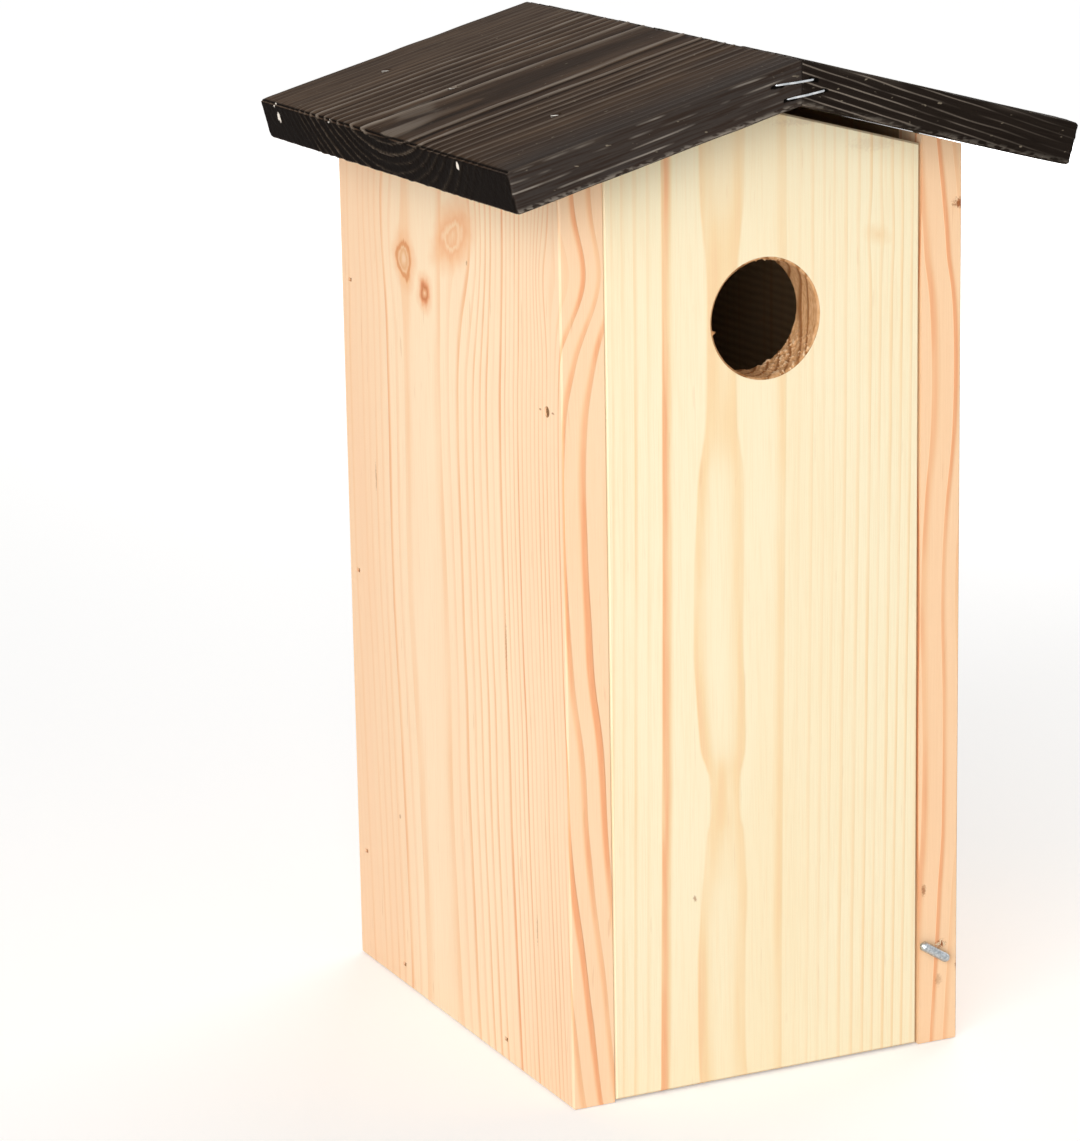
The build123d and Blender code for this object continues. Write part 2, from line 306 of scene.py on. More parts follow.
def growth_rings(tree, mm, board):
    """How much latewood there is at each point of a board, from 0 to 1."""
    axes = add(tree, "SeparateXYZ", (mm,)).node.outputs
    across, through, along = (axes[board[key]] for key in ("across", "through", "along"))
    sway = cloudy(tree, mm, in_axes(board, 9.0, 14.0, 75.0), 2.0)
    sway = add(tree, "Math MULTIPLY_ADD", (sway, board["sway"], -board["sway"] / 2))
    across = spread_apart(tree, across, along, board["flow"])
    radius = from_heart(tree, across, through, along, board, sway)
    rings = [(r, float(k)) for k, r in enumerate(board["rings"])]
    count = follow(tree, radius, rings, handles="VECTOR")
    year = add(tree, "Math FLOOR", (count,))
    season = add(tree, "Math FRACT", (count,))

    chance = add(tree, "TexWhiteNoise", {"W": add(tree, "Math ADD", (year, board["seed"]))},
                 noise_dimensions="1D")
    low, high = board["faint"]
    strength = add(tree, "Math MULTIPLY_ADD", (chance, high - low, low))
    for ring, value in board["strong"].items():
        hit = add(tree, "Math COMPARE", (year, float(ring), 0.5))
        strength = add(tree, "Math MULTIPLY_ADD", (
            hit, add(tree, "Math SUBTRACT", (value, strength)), strength))
    share = board["share"]
    late = add(tree, "MapRange", (season, 1 - share, 1 - 0.3 * share), interpolation_type="SMOOTHSTEP")
    late = add(tree, "Math MULTIPLY", (late, add(tree, "MapRange", (season, 1.0, 0.945))))
    strength = add(tree, "Math MULTIPLY", (strength, follow(tree, across, board["vivid"])))
    fading = cloudy(tree, mm, in_axes(board, 4.0, 6.0, 60.0), 2.0)
    fading = add(tree, "MapRange", (fading, 0.34, 0.66, 0.5, 1.25))
    strength = add(tree, "Math MULTIPLY", (strength, fading))
    return add(tree, "Math MULTIPLY", (late, strength))


def year_rings(first, last, width, spread, seed):
    """Ring sizes in mm, year by year, some wide and some narrow."""
    rng = np.random.default_rng(seed)
    sizes = [first]
    while sizes[-1] < last:
        sizes.append(sizes[-1] + width * (1 + spread * float(rng.uniform(-1, 1))))
    return sizes


print("ten years of growth end at", [round(r, 1) for r in year_rings(18.0, 45.0, 3.0, 0.3, 12)], "mm")

# %% [markdown]
# ## Planed spruce
# The walls, the floor and the front are planed spruce, left raw. Planing leaves a dull, even surface
# that still shows the rings, the fine fibres and a few short resin canals. Raw softwood scatters light,
# so its roughness is high, and its gloss is the usual one for wood and other non-metals. The latewood
# is harder and stands a hair above the earlywood, which the bump gives. Where a board is cut across, the
# open tubes swallow light, so the end grain is darker. Knots are the feet of branches: the grain flows
# round them, and a dark ring of bark closes them off. Real fibres are a twentieth of a millimetre wide,
# and are drawn nine times as coarse, so that they show.
#
# The inner faces are left as the saw made them, which is kind to young birds that have to climb out. Band
# saw marks run across the grain. These faces are painted darker, partly as the rougher sawn wood and partly
# as painted shade for the inside of the box, so little light comes back out of the entrance.

# %% Planed spruce
KNOTS = {  # from the middle of a knot outwards: place, colour, and how much it covers
    "tight": [(0.0, "#F3CCA6", 1.0), (0.12, "#ECBB8C", 1.0), (0.22, "#E6AE7C", 1.0), (0.32, "#F0C398", 1.0),
              (0.40, "#E09C64", 1.0), (0.51, "#DC9058", 0.95), (0.60, "#F3BC8A", 0.7), (1.0, "#F6C598", 0.0)],
    "small": [(0.0, "#F3CDA6", 1.0), (0.14, "#E5A878", 1.0), (0.30, "#CC7A46", 1.0), (0.44, "#E2935F", 0.9),
              (0.62, "#F4BC8C", 0.6), (1.0, "#F6C799", 0.0)],
    "blind": [(0.0, "#F6C99C", 0.85), (0.17, "#F0B07C", 0.8), (0.25, "#F8CFA4", 0.8), (0.40, "#F0AF7C", 0.85),
              (0.56, "#F5BD8C", 0.75), (1.0, "#F8C89C", 0.0)],
    "faint": [(0.0, "#F3D2A2", 0.7), (0.45, "#F3D2A2", 0.35), (0.9, "#F3D2A2", 0.0)],
}


def knot(tree, wood, mm, fibre, across, along, spot):
    """Lays one knot over the wood, with a rim that the fibres make uneven."""
    at, height, wide, tall, tilt, kind = spot
    aside = add(tree, "Math SUBTRACT", (across, at))
    above = add(tree, "Math SUBTRACT", (along, height))
    leaned = add(tree, "VectorRotate", {"Vector": add(tree, "CombineXYZ", (aside, above)),
                                        "Angle": radians(tilt)}, rotation_type="Z_AXIS")
    oval = add(tree, "VectorMath MULTIPLY", (leaned, (1 / wide, 1 / tall, 0.0)))
    size = add(tree, "VectorMath LENGTH", (oval,), out=1)
    for uneven_rim, depth in ((cloudy(tree, mm, [tall / 1.2] * 3, 2.0), 0.7), (fibre, 0.3)):
        middle = add(tree, "Math SUBTRACT", (size, depth / 2))
        size = add(tree, "Math MULTIPLY_ADD", (uneven_rim, depth, middle))
    ramp = add(tree, "ValToRGB", (add(tree, "Math MULTIPLY", (size, 0.7)),),
               stops=[(place, colour(code, cover)) for place, code, cover in KNOTS[kind]])
    return painted(tree, wood, (ramp.node.outputs["Alpha"], ramp))


def planed_spruce(name, board):
    """The material of one board, with its own rings and knots, and brown spots and dashes, some of them painted
    shade.
    """
    made, tree, skin = new_material(name)
    mm = in_mm(tree)
    late = growth_rings(tree, mm, board)
    axes = add(tree, "SeparateXYZ", (mm,)).node.outputs
    across, along = axes[board["across"]], axes[board["along"]]
    fibre = cloudy(tree, mm, in_axes(board, 0.45, 0.45, 16.0), 3.0)
    tone = cloudy(tree, mm, in_axes(board, 22.0, 22.0, 120.0), 2.0)
    canals = cloudy(tree, mm, in_axes(board, 0.9, 0.9, 11.0), 0.0)
    canals = add(tree, "MapRange", (canals, 0.80, 0.86, 0.0, board["canals"]))

    warm = add(tree, "MapRange", (tone, 0.38, 0.72, 0.0, board["tone"]))
    warm = add(tree, "Math ADD", (warm, follow(tree, across, board["wash"])), use_clamp=True)
    faintest = 0.38
    band = add(tree, "ValToRGB", (late,),
               stops=[(faintest, colour(board["pale_late"])), (1.0, colour(board["late"]))])
    wood = painted(
        tree, board["early"], (warm, board["blush"]), (add(tree, "MapRange", (late, 0.0, faintest)), band),
        (add(tree, "MapRange", (fibre, 0.45, 0.75, 0.0, 0.3)), board["pale_late"]), (canals, "#D9A06B"))
    for spot in board["knots"]:
        wood = knot(tree, wood, mm, fibre, across, along, spot)

    faces = add(tree, "SeparateXYZ", (add(tree, "TexCoord", out="Normal"),)).node.outputs
    side = add(tree, "Math ABSOLUTE", (faces[board["across"]],))
    cut = add(tree, "Math ABSOLUTE", (faces[board["along"]],))
    wood = painted(tree, wood, (add(tree, "MapRange", (side, 0.6, 0.9, 0.0, board["edge"])), "#F8C291"),
                   (add(tree, "MapRange", (cut, 0.55, 0.95, 0.0, 0.55)), "#C98F5C"))

    ragged = cloudy(tree, mm, [1 / 1.6] * 3, 2.0)
    # Brown spots and dashes in the wood; on the front, two soft ones are painted shade under the roof.
    for x, y, z, rx, ry, rz, dark in board["marks_and_shade"]:
        away = add(tree, "Math SUBTRACT", (away_from(tree, mm, (x, y, z), (rx, ry, rz)), 0.8))
        away = add(tree, "Math MULTIPLY_ADD", (ragged, 1.6, away))
        spot = add(tree, "MapRange", (away, 1.2, 0.3, 0.0, dark), interpolation_type="SMOOTHSTEP")
        wood = painted(tree, wood, (spot, "#9A5420"))

    axis, inner_face, way = board["inner"]
    towards = add(tree, "Math MULTIPLY", (axes[axis], way))
    inside = add(tree, "MapRange", (towards, way * inner_face - 0.2, way * inner_face - 0.1))
    rear_of_front = front_y + board_thick
    behind_front = add(tree, "MapRange", (axes[1], rear_of_front - 0.3, rear_of_front - 0.05))
    inside = add(tree, "Math MULTIPLY", (inside, behind_front))
    sawn = add(tree, "TexWave", {"Vector": mm, "Scale": 0.13, "Distortion": 2.4, "Detail": 2.0, "Detail Scale": 0.4},
               out=1, bands_direction="XYZ"[board["along"]])
    toothed = add(tree, "Math MULTIPLY", (inside, sawn))
    # Painted shade in part: the inner faces are darkened, partly as sawn wood and partly as the shade inside the
    # box.
    wood = painted(tree, wood, (add(tree, "Math MULTIPLY", (inside, 0.8)), "#A07A50"),
                   (add(tree, "Math MULTIPLY", (toothed, 0.35)), "#8F6840"))

    relief = add(tree, "Math MULTIPLY_ADD", (fibre, 0.5, late))
    relief = add(tree, "Math MULTIPLY_ADD", (toothed, 1.6, relief))
    plug(tree, skin, {
        "Base Color": wood, "IOR": 1.5, "Specular IOR Level": 0.35,
        "Normal": add(tree, "Bump", {"Strength": 0.6, "Distance": 0.00012, "Height": relief}),
        "Roughness": add(tree, "MapRange", (fibre, 0.0, 1.0, 0.66, 0.54))})
    return made


print("kinds of knot:", ", ".join(KNOTS))

# %% [markdown]
# ## The boards, one by one
# Every board was cut from a different place in a tree, so each gets its own heart line and rings. The
# numbers for the front and the left wall were read off the photograph: on the front a strong orange
# band runs down at the left, and two long lenses open down the middle. The heart of that tree lies
# 22 mm behind the face. The left wall was cut further out, and its rings crowd together towards the
# front, round two tight knots and one blind one that the plane only just missed. Places on the side
# walls are counted from the front edge backwards, and a short function adds where that edge is.

# %% Boards
def shifted(points, first=0.0, second=0.0):
    """Points with something added to their first and second numbers."""
    return [(a + first, b + second, *rest) for a, b, *rest in points]


front_board = {
    "across": 0, "through": 1, "along": 2, "seed": 3.0, "sway": 0.4, "share": 0.42, "canals": 0.12, "tone": 0.4,
    "inner": (1, front_y + board_thick, 1), "edge": 0.0,
    "early": "#FBEDCA", "pale_late": "#F7D9AA", "late": "#F2B283", "blush": "#FAE3B8",
    "heart": [(0, -14.8), (50, -14.2), (100, -13.5), (200, -12.3), (270, -12.0)],
    "depth": shifted([(0, 21.6), (140, 21.8), (270, 21.7)], 0, front_y),
    "wander": [(0, 1.2), (30, -0.1), (50, 0.5), (66, 0.8), (80, 0.8), (96, 0.0), (112, -0.9), (130, -1.6),
               (165, -1.1), (200, -0.9), (240, -0.7), (270, -0.6)],
    "swell": [(0, 0.0), (45, -0.1), (60, 0.1), (72, 0.35), (81, 0.6), (90, 0.35), (100, -0.1), (130, -0.25),
              (165, -0.1), (178, 0.3), (190, 0.55), (215, 0.6), (235, 0.35), (247, 0.1), (270, 0.0)],
    "rings": [0.0, 6.5, 12.0, 16.2, 19.6, 22.9, 28.7, 31.7, 34.6, 37.4, 39.8, 43.0, 46.5, 49.6, 52.3, 55.5, 58.3,
              61.1, 64.0, 67.5, 71.0, 75.0],
    "faint": (0.2, 0.42), "strong": {4: 0.5, 5: 1.15, 6: 0.15, 7: 0.32, 8: 0.2, 14: 0.45, 15: 0.4},
    "vivid": [(-60, 1.0), (-24, 1.0), (-20, 0.9), (0, 0.6), (4, 0.34), (10, 0.5), (20, 0.7), (60, 0.85)],
    "wash": [(-60, 0.0), (60, 0.0)],
    "flow": [(34.0, 231.0, 4.0, 9.0, 0.4)],
    "knots": [(34.0, 231.0, 4.2, 2.6, 20, "faint")],
    # The last two are painted shade: faint brown bands just under the right slope of the roof.
    "marks_and_shade": shifted([(-22.5, 0, 54.0, 0.6, 0.5, 1.0, 0.6), (12.0, 0, 263.0, 9.0, 1.0, 1.3, 0.16),
                      (33.0, 0, 255.5, 8.0, 1.0, 2.2, 0.12)], 0, front_y),
}

left_board = {
    "across": 1, "through": 0, "along": 2, "seed": 11.0, "sway": 1.2, "share": 0.48, "canals": 0.3, "tone": 0.35,
    "inner": (0, left_x + board_thick, 1), "edge": 0.15,
    "early": "#FEE3BF", "pale_late": "#F8CB9E", "late": "#EEA272", "blush": "#FCD3AC",
    "heart": shifted([(0, 84.2), (35, 86.0), (75, 88.0), (95, 88.6), (130, 90.2), (175, 90.6), (205, 89.2),
                      (235, 87.5), (256, 86.8)], 0, front_y),
    "depth": shifted([(0, -37.0), (60, -37.6), (120, -36.8), (180, -37.4), (256, -36.6)], 0, left_x),
    "rings": [0.0, 30.0, 36.0, 39.6, 41.8, 44.8, 48.0, 50.8, 54.2, 57.4, 60.6, 64.4, 66.7, 69.0, 71.4, 73.8, 76.2,
              78.5, 80.8, 83.0, 85.2, 87.4, 89.6, 91.6, 93.8, 96.0, 98.2, 100.8, 104.5, 108.0, 112.0],
    "faint": (0.2, 0.7), "strong": {2: 0.4, 3: 0.25, 4: 0.8, 7: 0.6, 10: 0.8, 14: 0.8, 24: 0.9, 25: 0.6, 26: 1.0},
    "vivid": shifted([(-1, 1.5), (0.6, 1.4), (4, 1.0), (32, 1.05), (44, 0.8), (88, 0.75), (112, 0.8),
                      (124, 0.45), (150, 0.5)], front_y),
    "wash": shifted([(-1, 0.4), (30, 0.2), (58, 0.0), (100, 0.0), (122, 0.6), (150, 0.8)], front_y),
    "flow": shifted([(5.0, 226.0, 9.0, 15.0, 0.8), (101, 218.0, 9.0, 16.0, 0.75), (87, 210.5, 6.0, 12.0, 0.7),
                     (67, 230.0, 16.0, 26.0, 0.75), (98, 232.0, 28.0, 24.0, 0.4)], front_y),
    "knots": shifted([(101, 218.0, 6.6, 7.4, 15, "tight"), (87, 210.5, 4.4, 5.0, 0, "small"),
                      (67, 229.5, 13.5, 7.5, 25, "blind")], front_y),
    "marks_and_shade": shifted([(0, 13.0, 191.0, 0.6, 0.8, 0.35, 0.75), (0, 5.4, 191.2, 0.6, 0.9, 0.35, 0.7),
                      (0, 114.5, 51.5, 0.6, 0.7, 0.8, 0.5), (0, 37.6, 121.0, 0.5, 0.55, 8.0, 0.5),
                      (0, 125.5, 151.0, 0.5, 0.45, 5.0, 0.5), (0, 21.0, 45.0, 0.5, 0.4, 5.0, 0.4),
                      (0, 58.2, 223.0, 0.6, 0.6, 0.8, 0.5)], left_x, front_y),
}

right_rings = year_rings(26.0, 64.0, 2.7, 0.3, 8)
crowded = len(right_rings)
right_rings += [66.8, 69.2, 71.4, 74.9] + year_rings(77.6, 112.0, 2.7, 0.3, 9)
right_board = dict(
    left_board, seed=29.0, early="#FEDDB4", edge=0.25, inner=(0, -left_x - board_thick, -1),
    marks_and_shade=shifted([(54.6, 0, 28.6, 1.7, 1.2, 1.2, 0.95), (53.8, 0, 18.0, 1.3, 1.0, 1.9, 0.35),
                   (49.0, 0, 45.0, 0.8, 0.8, 1.9, 0.7), (60.0, 0, 237.4, 3.0, 1.8, 1.7, 0.95),
                   (59.9, 0, 21.5, 0.6, 0.8, 1.8, 0.8)], 0, front_y),
    heart=shifted([(0, 60.0), (40, 61.5), (90, 62.6), (140, 61.8), (190, 63.4), (225, 62.0), (256, 60.4)],
                  0, front_y),
    depth=shifted([(0, 30.0), (90, 29.2), (180, 30.4), (256, 30.0)], 0, -left_x),
    rings=right_rings, strong={7: 0.9, 12: 0.8, crowded + 1: 1.0, crowded + 2: 0.95},
    wash=shifted([(-1, 0.4), (150, 0.3)], front_y), vivid=shifted([(-1, 1.3), (1, 1.0), (150, 0.8)], front_y),
    flow=shifted([(96, 92.0, 8.0, 16.0, 0.7)], front_y),
    knots=shifted([(96, 92.0, 4.4, 5.2, 10, "tight")], front_y))

back_board = dict(
    left_board, across=0, through=1, seed=41.0, marks_and_shade=[], inner=(1, -front_y - board_thick, -1),
    heart=[(0, 18.0), (60, 16.5), (130, 19.0), (200, 17.0), (270, 18.5)],
    depth=shifted([(0, 24.0), (90, 23.2), (180, 24.3), (270, 23.6)], 0, -front_y),
    rings=year_rings(18.0, 82.0, 3.1, 0.3, 12), strong={4: 0.8, 9: 0.7}, vivid=[(-60, 0.9), (60, 0.9)],
    wash=[(-60, 0.4), (60, 0.2)],
    flow=[(-22, 84.0, 8.0, 17.0, 0.75)], knots=[(-22, 84.0, 4.6, 5.4, -10, "tight")])

floor_wood = dict(
    left_board, across=0, through=2, along=1, seed=53.0, marks_and_shade=[], flow=[], knots=[], inner=(2, board_thick, 1),
    heart=[(-62, -6.0), (0, -4.0), (62, -7.0)], depth=[(-62, 34.0), (0, 33.0), (62, 34.5)],
    rings=year_rings(18.0, 64.0, 2.8, 0.3, 21), strong={3: 0.8}, vivid=[(-60, 0.9), (60, 0.9)],
    wash=[(-60, 0.3), (60, 0.3)])

for node, name, board in (
    ("front_door", "planed_spruce_front", front_board),
    ("left_side_wall", "planed_spruce_left_wall", left_board),
    ("right_side_wall", "planed_spruce_right_wall", right_board),
    ("back_wall", "planed_spruce_back_wall", back_board),
    ("floor_board", "planed_spruce_floor", floor_wood),
):
    spruce = planed_spruce(name, board)
    for slot in nodes[node].material_slots:
        slot.material = spruce
    print(node, "->", name, "| rings:", len(board["rings"]), "| nodes:", len(spruce.node_tree.nodes))

# %% [markdown]
# ## Brushed wood, as shape
# The roof was brushed before it was stained. A steel brush tears out the soft earlywood and leaves the
# hard latewood standing, so the rings can be felt as ridges, and where they leave the board at the eave
# they make its edge ragged. That is shape, not paint, so the two boards are drawn as new meshes. We
# need the same ring counting as above, now in numpy, and a smooth made-up unevenness, because no tool
# and no tree works evenly. Two more helpers make a mesh: one joins loops of points that follow each
# other, and the other lays the finished piece on the box, in the place of a solid where one is named.

# %% Unevenness, rings and meshes in numbers
def uneven(points, size, seed):
    """Smooth unevenness from -1 to 1, with bumps of about the given size in mm."""
    cells = 24
    grid = np.random.default_rng(seed).uniform(-1, 1, (cells, cells, cells))
    cell = points / np.array(size)
    base = np.floor(cell).astype(int)
    part = cell - base
    part = part * part * (3 - 2 * part)
    total = np.zeros(len(points))
    for corner in np.ndindex(2, 2, 2):
        weight = np.prod(np.where(corner, part, 1 - part), axis=1)
        total += weight * grid[tuple(((base + corner) % cells).T)]
    return total


def soft_step(low, high, values):
    """0 below low, 1 above high, and a smooth rise between."""
    part = np.clip((values - low) / (high - low), 0, 1)
    return part * part * (3 - 2 * part)


def latewood_at(points, wood):
    """Latewood, and the hollow beside it, at points of a roof board in mm: (down the slope, y, up)."""
    down, y, up = points.T
    beside = y - np.interp(down, *zip(*wood["heart"])) + wood["sway"] * uneven(points, (60, 12, 12), wood["seed"])
    behind = up - np.interp(down, *zip(*wood["depth"]))
    radius = np.hypot(beside, behind) + 0.25 * uneven(points, (14, 6, 6), wood["seed"] + 1)
    count = np.interp(radius, wood["rings"], np.arange(len(wood["rings"])))
    season = count - np.floor(count)
    strength = np.random.default_rng(wood["seed"] + 2).uniform(*wood["faint"], len(wood["rings"]))
    for ring, value in wood["strong"].items():
        strength[ring] = value
    late = soft_step(1 - wood["share"], 0.85, season) * (1 - soft_step(0.93, 1.0, season))
    fading = 0.75 + 0.35 * uneven(points, (22, 3, 3), wood["seed"] + 9)
    hollow = 1 - soft_step(0.10, 0.42, season)
    clear = np.interp(y, *zip(*wood["vivid"])) * fading
    year = np.floor(count).astype(int)
    return late * strength[year] * clear, hollow * strength[year - 1] * clear


def joined(loops, around, base=0, inside_out=False):
    """Four-sided faces between loops of points that follow each other."""
    faces = []
    for row in range(loops - 1):
        for k in range(around):
            a, b = base + row * around + k, base + row * around + (k + 1) % around
            faces.append((a, a + around, b + around, b) if inside_out else (a, b, b + around, a + around))
    return faces


def lay(name, points, faces, body, slot, node=None, mend=False, **kept):
    """Lays a piece on a body, from points in mm, with numbers kept on its points."""
    mesh = bpy.data.meshes.new(name)
    mesh.from_pydata((np.asarray(points) * MM).tolist(), [], faces)
    for key, values in kept.items():
        mesh.attributes.new(key, "FLOAT", "POINT").data.foreach_set("value", values.astype(np.float32))
    if mend:
        shape = bmesh.new()
        shape.from_mesh(mesh)
        bmesh.ops.remove_doubles(shape, verts=shape.verts, dist=0.01 * MM)
        bmesh.ops.dissolve_degenerate(shape, dist=0.002 * MM, edges=shape.edges)
        bmesh.ops.recalc_face_normals(shape, faces=shape.faces)
        shape.to_mesh(mesh)
        shape.free()
    piece = bpy.data.objects.new(name, mesh)
    bpy.context.scene.collection.objects.link(piece)
    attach(piece, body)
    if node:
        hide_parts(node)
    print(name, "has", len(mesh.vertices), "points and", len(mesh.polygons), "faces")
    return piece


def smooth(piece):
    """Smooth shading on all but the end faces."""
    faces = piece.data.polygons
    faces.foreach_set("use_smooth", [len(face.vertices) < 5 for face in faces])


print("unevenness at one point:", round(float(uneven(np.array([[3.0, 4.0, 5.0]]), (8, 8, 8), 1)[0]), 3))

# %% [markdown]
# ## The roof boards
# Each board is one closed skin. A loop of points goes round its section, with the four long edges
# rounded, and is repeated from the mitre at the ridge down to the eave. There the loops shrink and close
# the cut end. Then every point is pressed straight in, by how much soft wood the brush found there.
# Above each brad there is a small square dent, because the heads are driven just under the surface.
#
# We keep three numbers on every point: the amount of latewood, the hollow just beyond each ridge, where
# the brush dug deepest into the first soft wood of the next year, and how worn the place is. The stain
# reads them later, so that colour and shape always agree. A fourth one marks the gashes of the staples,
# which get painted shade, nearly black.

# %% Sizes of the roof
low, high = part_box("roof_board_left")
pitch = radians(15.0)
roof_front, roof_rear, ridge_z = low.y / MM, high.y / MM, high.z / MM
thick = (ridge_z + low.x / MM * tan(pitch) - low.z / MM) / cos(pitch)
under_z = ridge_z - thick / cos(pitch)
eave = (under_z - low.z / MM) / sin(pitch)
edge_radius = 1.2
head_low, head_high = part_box("roof_brads_left")
brad_down = (-(head_low.x + head_high.x) / 2 / MM - thick * sin(pitch)) / cos(pitch)
head_height = 0.7 * MM  # the points of a brad this near its top belong to its head
brad_tops = {round(v.co.y / MM, 2) for v in nodes["roof_brads_left"].data.vertices
             if v.co.z > head_high.z - head_height}
brad_edges = sorted(brad_tops)
brad_ys = [(one + other) / 2 for one, other in zip(brad_edges[::2], brad_edges[1::2])]
print("board thickness", round(thick, 2), "mm, eave at", round(eave, 2), "mm, brads at y",
      [round(y, 1) for y in brad_ys])

# %% The skin of a roof board
# Cuts of the staple gun in the front face, in mm: from (x, z) to (x, z), half width, depth
GASHES = [(-8.4, 275.2, -5.6, 275.5, 0.6, 0.9), (2.6, 276.7, 4.6, 276.2, 0.6, 0.8),
          (-5.0, 271.5, -1.4, 272.1, 0.5, 0.9), (6.2, 273.6, 7.4, 273.4, 0.5, 0.7)]


def section():
    """Points (y, up) and outward directions round a roof board."""
    r = edge_radius
    flat = list(np.linspace(roof_front + r, roof_rear - r, 340))
    for y in brad_ys:
        flat = [v for v in flat if abs(v - y) > 0.95] + [y + s for s in (-0.85, -0.62, 0.0, 0.62, 0.85)]
    side = np.linspace(r, thick - r, 31)
    arc = np.linspace(0, pi / 2, 6)[1:-1]
    loop = [(y, 0.0, 0.0, -1.0) for y in np.linspace(roof_front + r, roof_rear - r, 160)]
    loop += [(roof_rear - r + r * sin(t), r - r * cos(t), sin(t), -cos(t)) for t in arc]
    loop += [(roof_rear, w, 1.0, 0.0) for w in side]
    loop += [(roof_rear - r + r * cos(t), thick - r + r * sin(t), cos(t), sin(t)) for t in arc]
    loop += [(y, thick, 0.0, 1.0) for y in sorted(flat)[::-1]]
    loop += [(roof_front + r - r * sin(t), thick - r + r * cos(t), -sin(t), cos(t)) for t in arc]
    loop += [(roof_front, w, -1.0, 0.0) for w in side[::-1]]
    loop += [(roof_front + r - r * cos(t), r - r * sin(t), -cos(t), -sin(t)) for t in arc]
    return np.array(loop)


def board_points():
    """Points (down, y, up) of a whole board, their outward directions, and how many loops they form."""
    loop = section()
    stops = list(np.linspace(0, 10.0, 21)) + list(np.linspace(10.9, eave - edge_radius, 72))
    stops = [v for v in stops if abs(v - brad_down) > 1.7]
    stops = sorted(stops + [brad_down + s for s in (-1.5, -1.2, 0.0, 1.2, 1.5)])
    rows = [(stop, 0.0, 0.0) for stop in stops]
    rows += [(eave - edge_radius + edge_radius * sin(t), edge_radius * (1 - cos(t)), t)
             for t in np.linspace(0, pi / 2, 6)[1:]]
    rows += [(eave, inset, pi / 2) for inset in np.linspace(edge_radius, thick / 2, 10)[1:]]
    points, outward = [], []
    for stop, inset, turn in rows:
        y = np.clip(loop[:, 0] - loop[:, 2] * inset, roof_front + inset, roof_rear - inset)
        up = np.clip(loop[:, 1] - loop[:, 3] * inset, inset, thick - inset)
        points.append(np.stack([np.full(len(y), stop), y, up], 1))
        outward.append(np.concatenate([np.full((len(y), 1), sin(turn)), loop[:, 2:] * cos(turn)], 1))
    return np.concatenate(points), np.concatenate(outward), len(rows)


def on_the_box(points, mirror):
    """Where points (down, y, up) of a board lie across and up on the box, in mm."""
    started = np.minimum(points[:, 0] / 6.0, 1.0)
    down = points[:, 0] - (1 - started) * points[:, 2] * tan(pitch)
    across = down * cos(pitch) + points[:, 2] * sin(pitch)
    return (across if mirror else -across), under_z - down * sin(pitch) + points[:, 2] * cos(pitch)


def gashes_at(points, mirror, on_front, seed):
    """How deep the staple gun cut at each point, in mm, and 1 where it did."""
    x, z = on_the_box(points, mirror)
    ragged = 0.25 * uneven(points, (1.4, 9, 1.1), seed)
    press, gash = np.zeros(len(points)), np.zeros(len(points))
    for ax, az, bx, bz, wide, depth in GASHES:
        along = ((x - ax) * (bx - ax) + (z - az) * (bz - az)) / ((bx - ax) ** 2 + (bz - az) ** 2)
        along = np.clip(along, 0, 1)
        away = np.hypot(x - ax - along * (bx - ax), z - az - along * (bz - az)) / wide + ragged
        cut = (1 - soft_step(0.55, 1.1, away)) * on_front
        press, gash = np.maximum(press, depth * cut), np.maximum(gash, cut)
    return press, gash


def worn_patch(points, corners, seed):
    """How worn the top is, inside a patch whose corners are (down, y), with a soft ragged rim."""
    ring = np.array(corners)
    ragged = np.stack([uneven(points, (9, 1.2, 9), seed + 7), uneven(points, (9, 2, 9), seed + 8)], 1)
    spot = points[:, :2] + 1.3 * ragged
    inside = np.full(len(points), np.inf)
    for a, b in zip(ring, np.roll(ring, -1, 0)):
        along = (b - a) / np.linalg.norm(b - a)
        inside = np.minimum(inside, (spot[:, 0] - a[0]) * along[1] - (spot[:, 1] - a[1]) * along[0])
    return 0.75 * soft_step(-0.6, 2.0, inside)


def roof_board(name, node, mirror, wood):
    """One brushed roof board, from the ridge down to the eave."""
    points, outward, loops = board_points()
    seed = wood["seed"]
    late, hollow = latewood_at(points, wood)
    on_top, on_end = np.clip(outward[:, 2], 0, 1), outward[:, 0]
    brushed = 0.10 + 0.22 * on_top + 0.26 * on_end + 0.9 * on_top * on_end
    press = brushed * (1 - late + 0.35 * hollow)
    press += 0.05 * (1 + uneven(points, (26, 0.9, 0.9), seed + 3)) * (1 - on_end)
    press += 0.07 * (1 + uneven(points, (3, 1.1, 1.1), seed + 4)) * on_end
    edge = np.minimum(np.abs(points[:, 1] - roof_front), np.abs(points[:, 1] - roof_rear))
    arris = np.sort([edge, np.minimum(points[:, 2], thick - points[:, 2]), eave - points[:, 0]], axis=0)[1]
    edge = np.maximum(1 - edge / 2.5, 0) + np.maximum(1 - (eave - points[:, 0]) / 2.5, 0) * (1 - on_end)
    press += 0.22 * np.clip(edge, 0, 1) * (1 + uneven(points, (9, 5, 3), seed + 5)) * np.abs(outward[:, 2])
    for y in brad_ys:
        dent = (np.abs(points[:, 1] - y) < 0.7) & (np.abs(points[:, 0] - brad_down) < 1.3) & (on_top > 0.9)
        press[dent] = 1.0
    cut_in, gash = gashes_at(points, mirror, outward[:, 1] < -0.7, seed + 12)
    worn = np.clip(1 - arris / 2.0, 0, 1) * soft_step(-0.1, 0.7, uneven(points, (12, 9, 9), seed + 6)) * 0.6
    for corners in wood["worn"]:
        worn = np.maximum(worn, worn_patch(points, corners, seed) * (on_top > 0.5))
    points = points - outward * np.maximum(press, cut_in)[:, None]
    x, z = on_the_box(points, mirror)
    around = len(points) // loops
    board = lay(name, np.stack([x, points[:, 1], z], 1), joined(loops, around) + [tuple(range(around))],
                "house", "stained_spruce", node, mend=True, latewood=late, hollow=hollow, worn=worn, gash=gash)
    smooth(board)
    return board


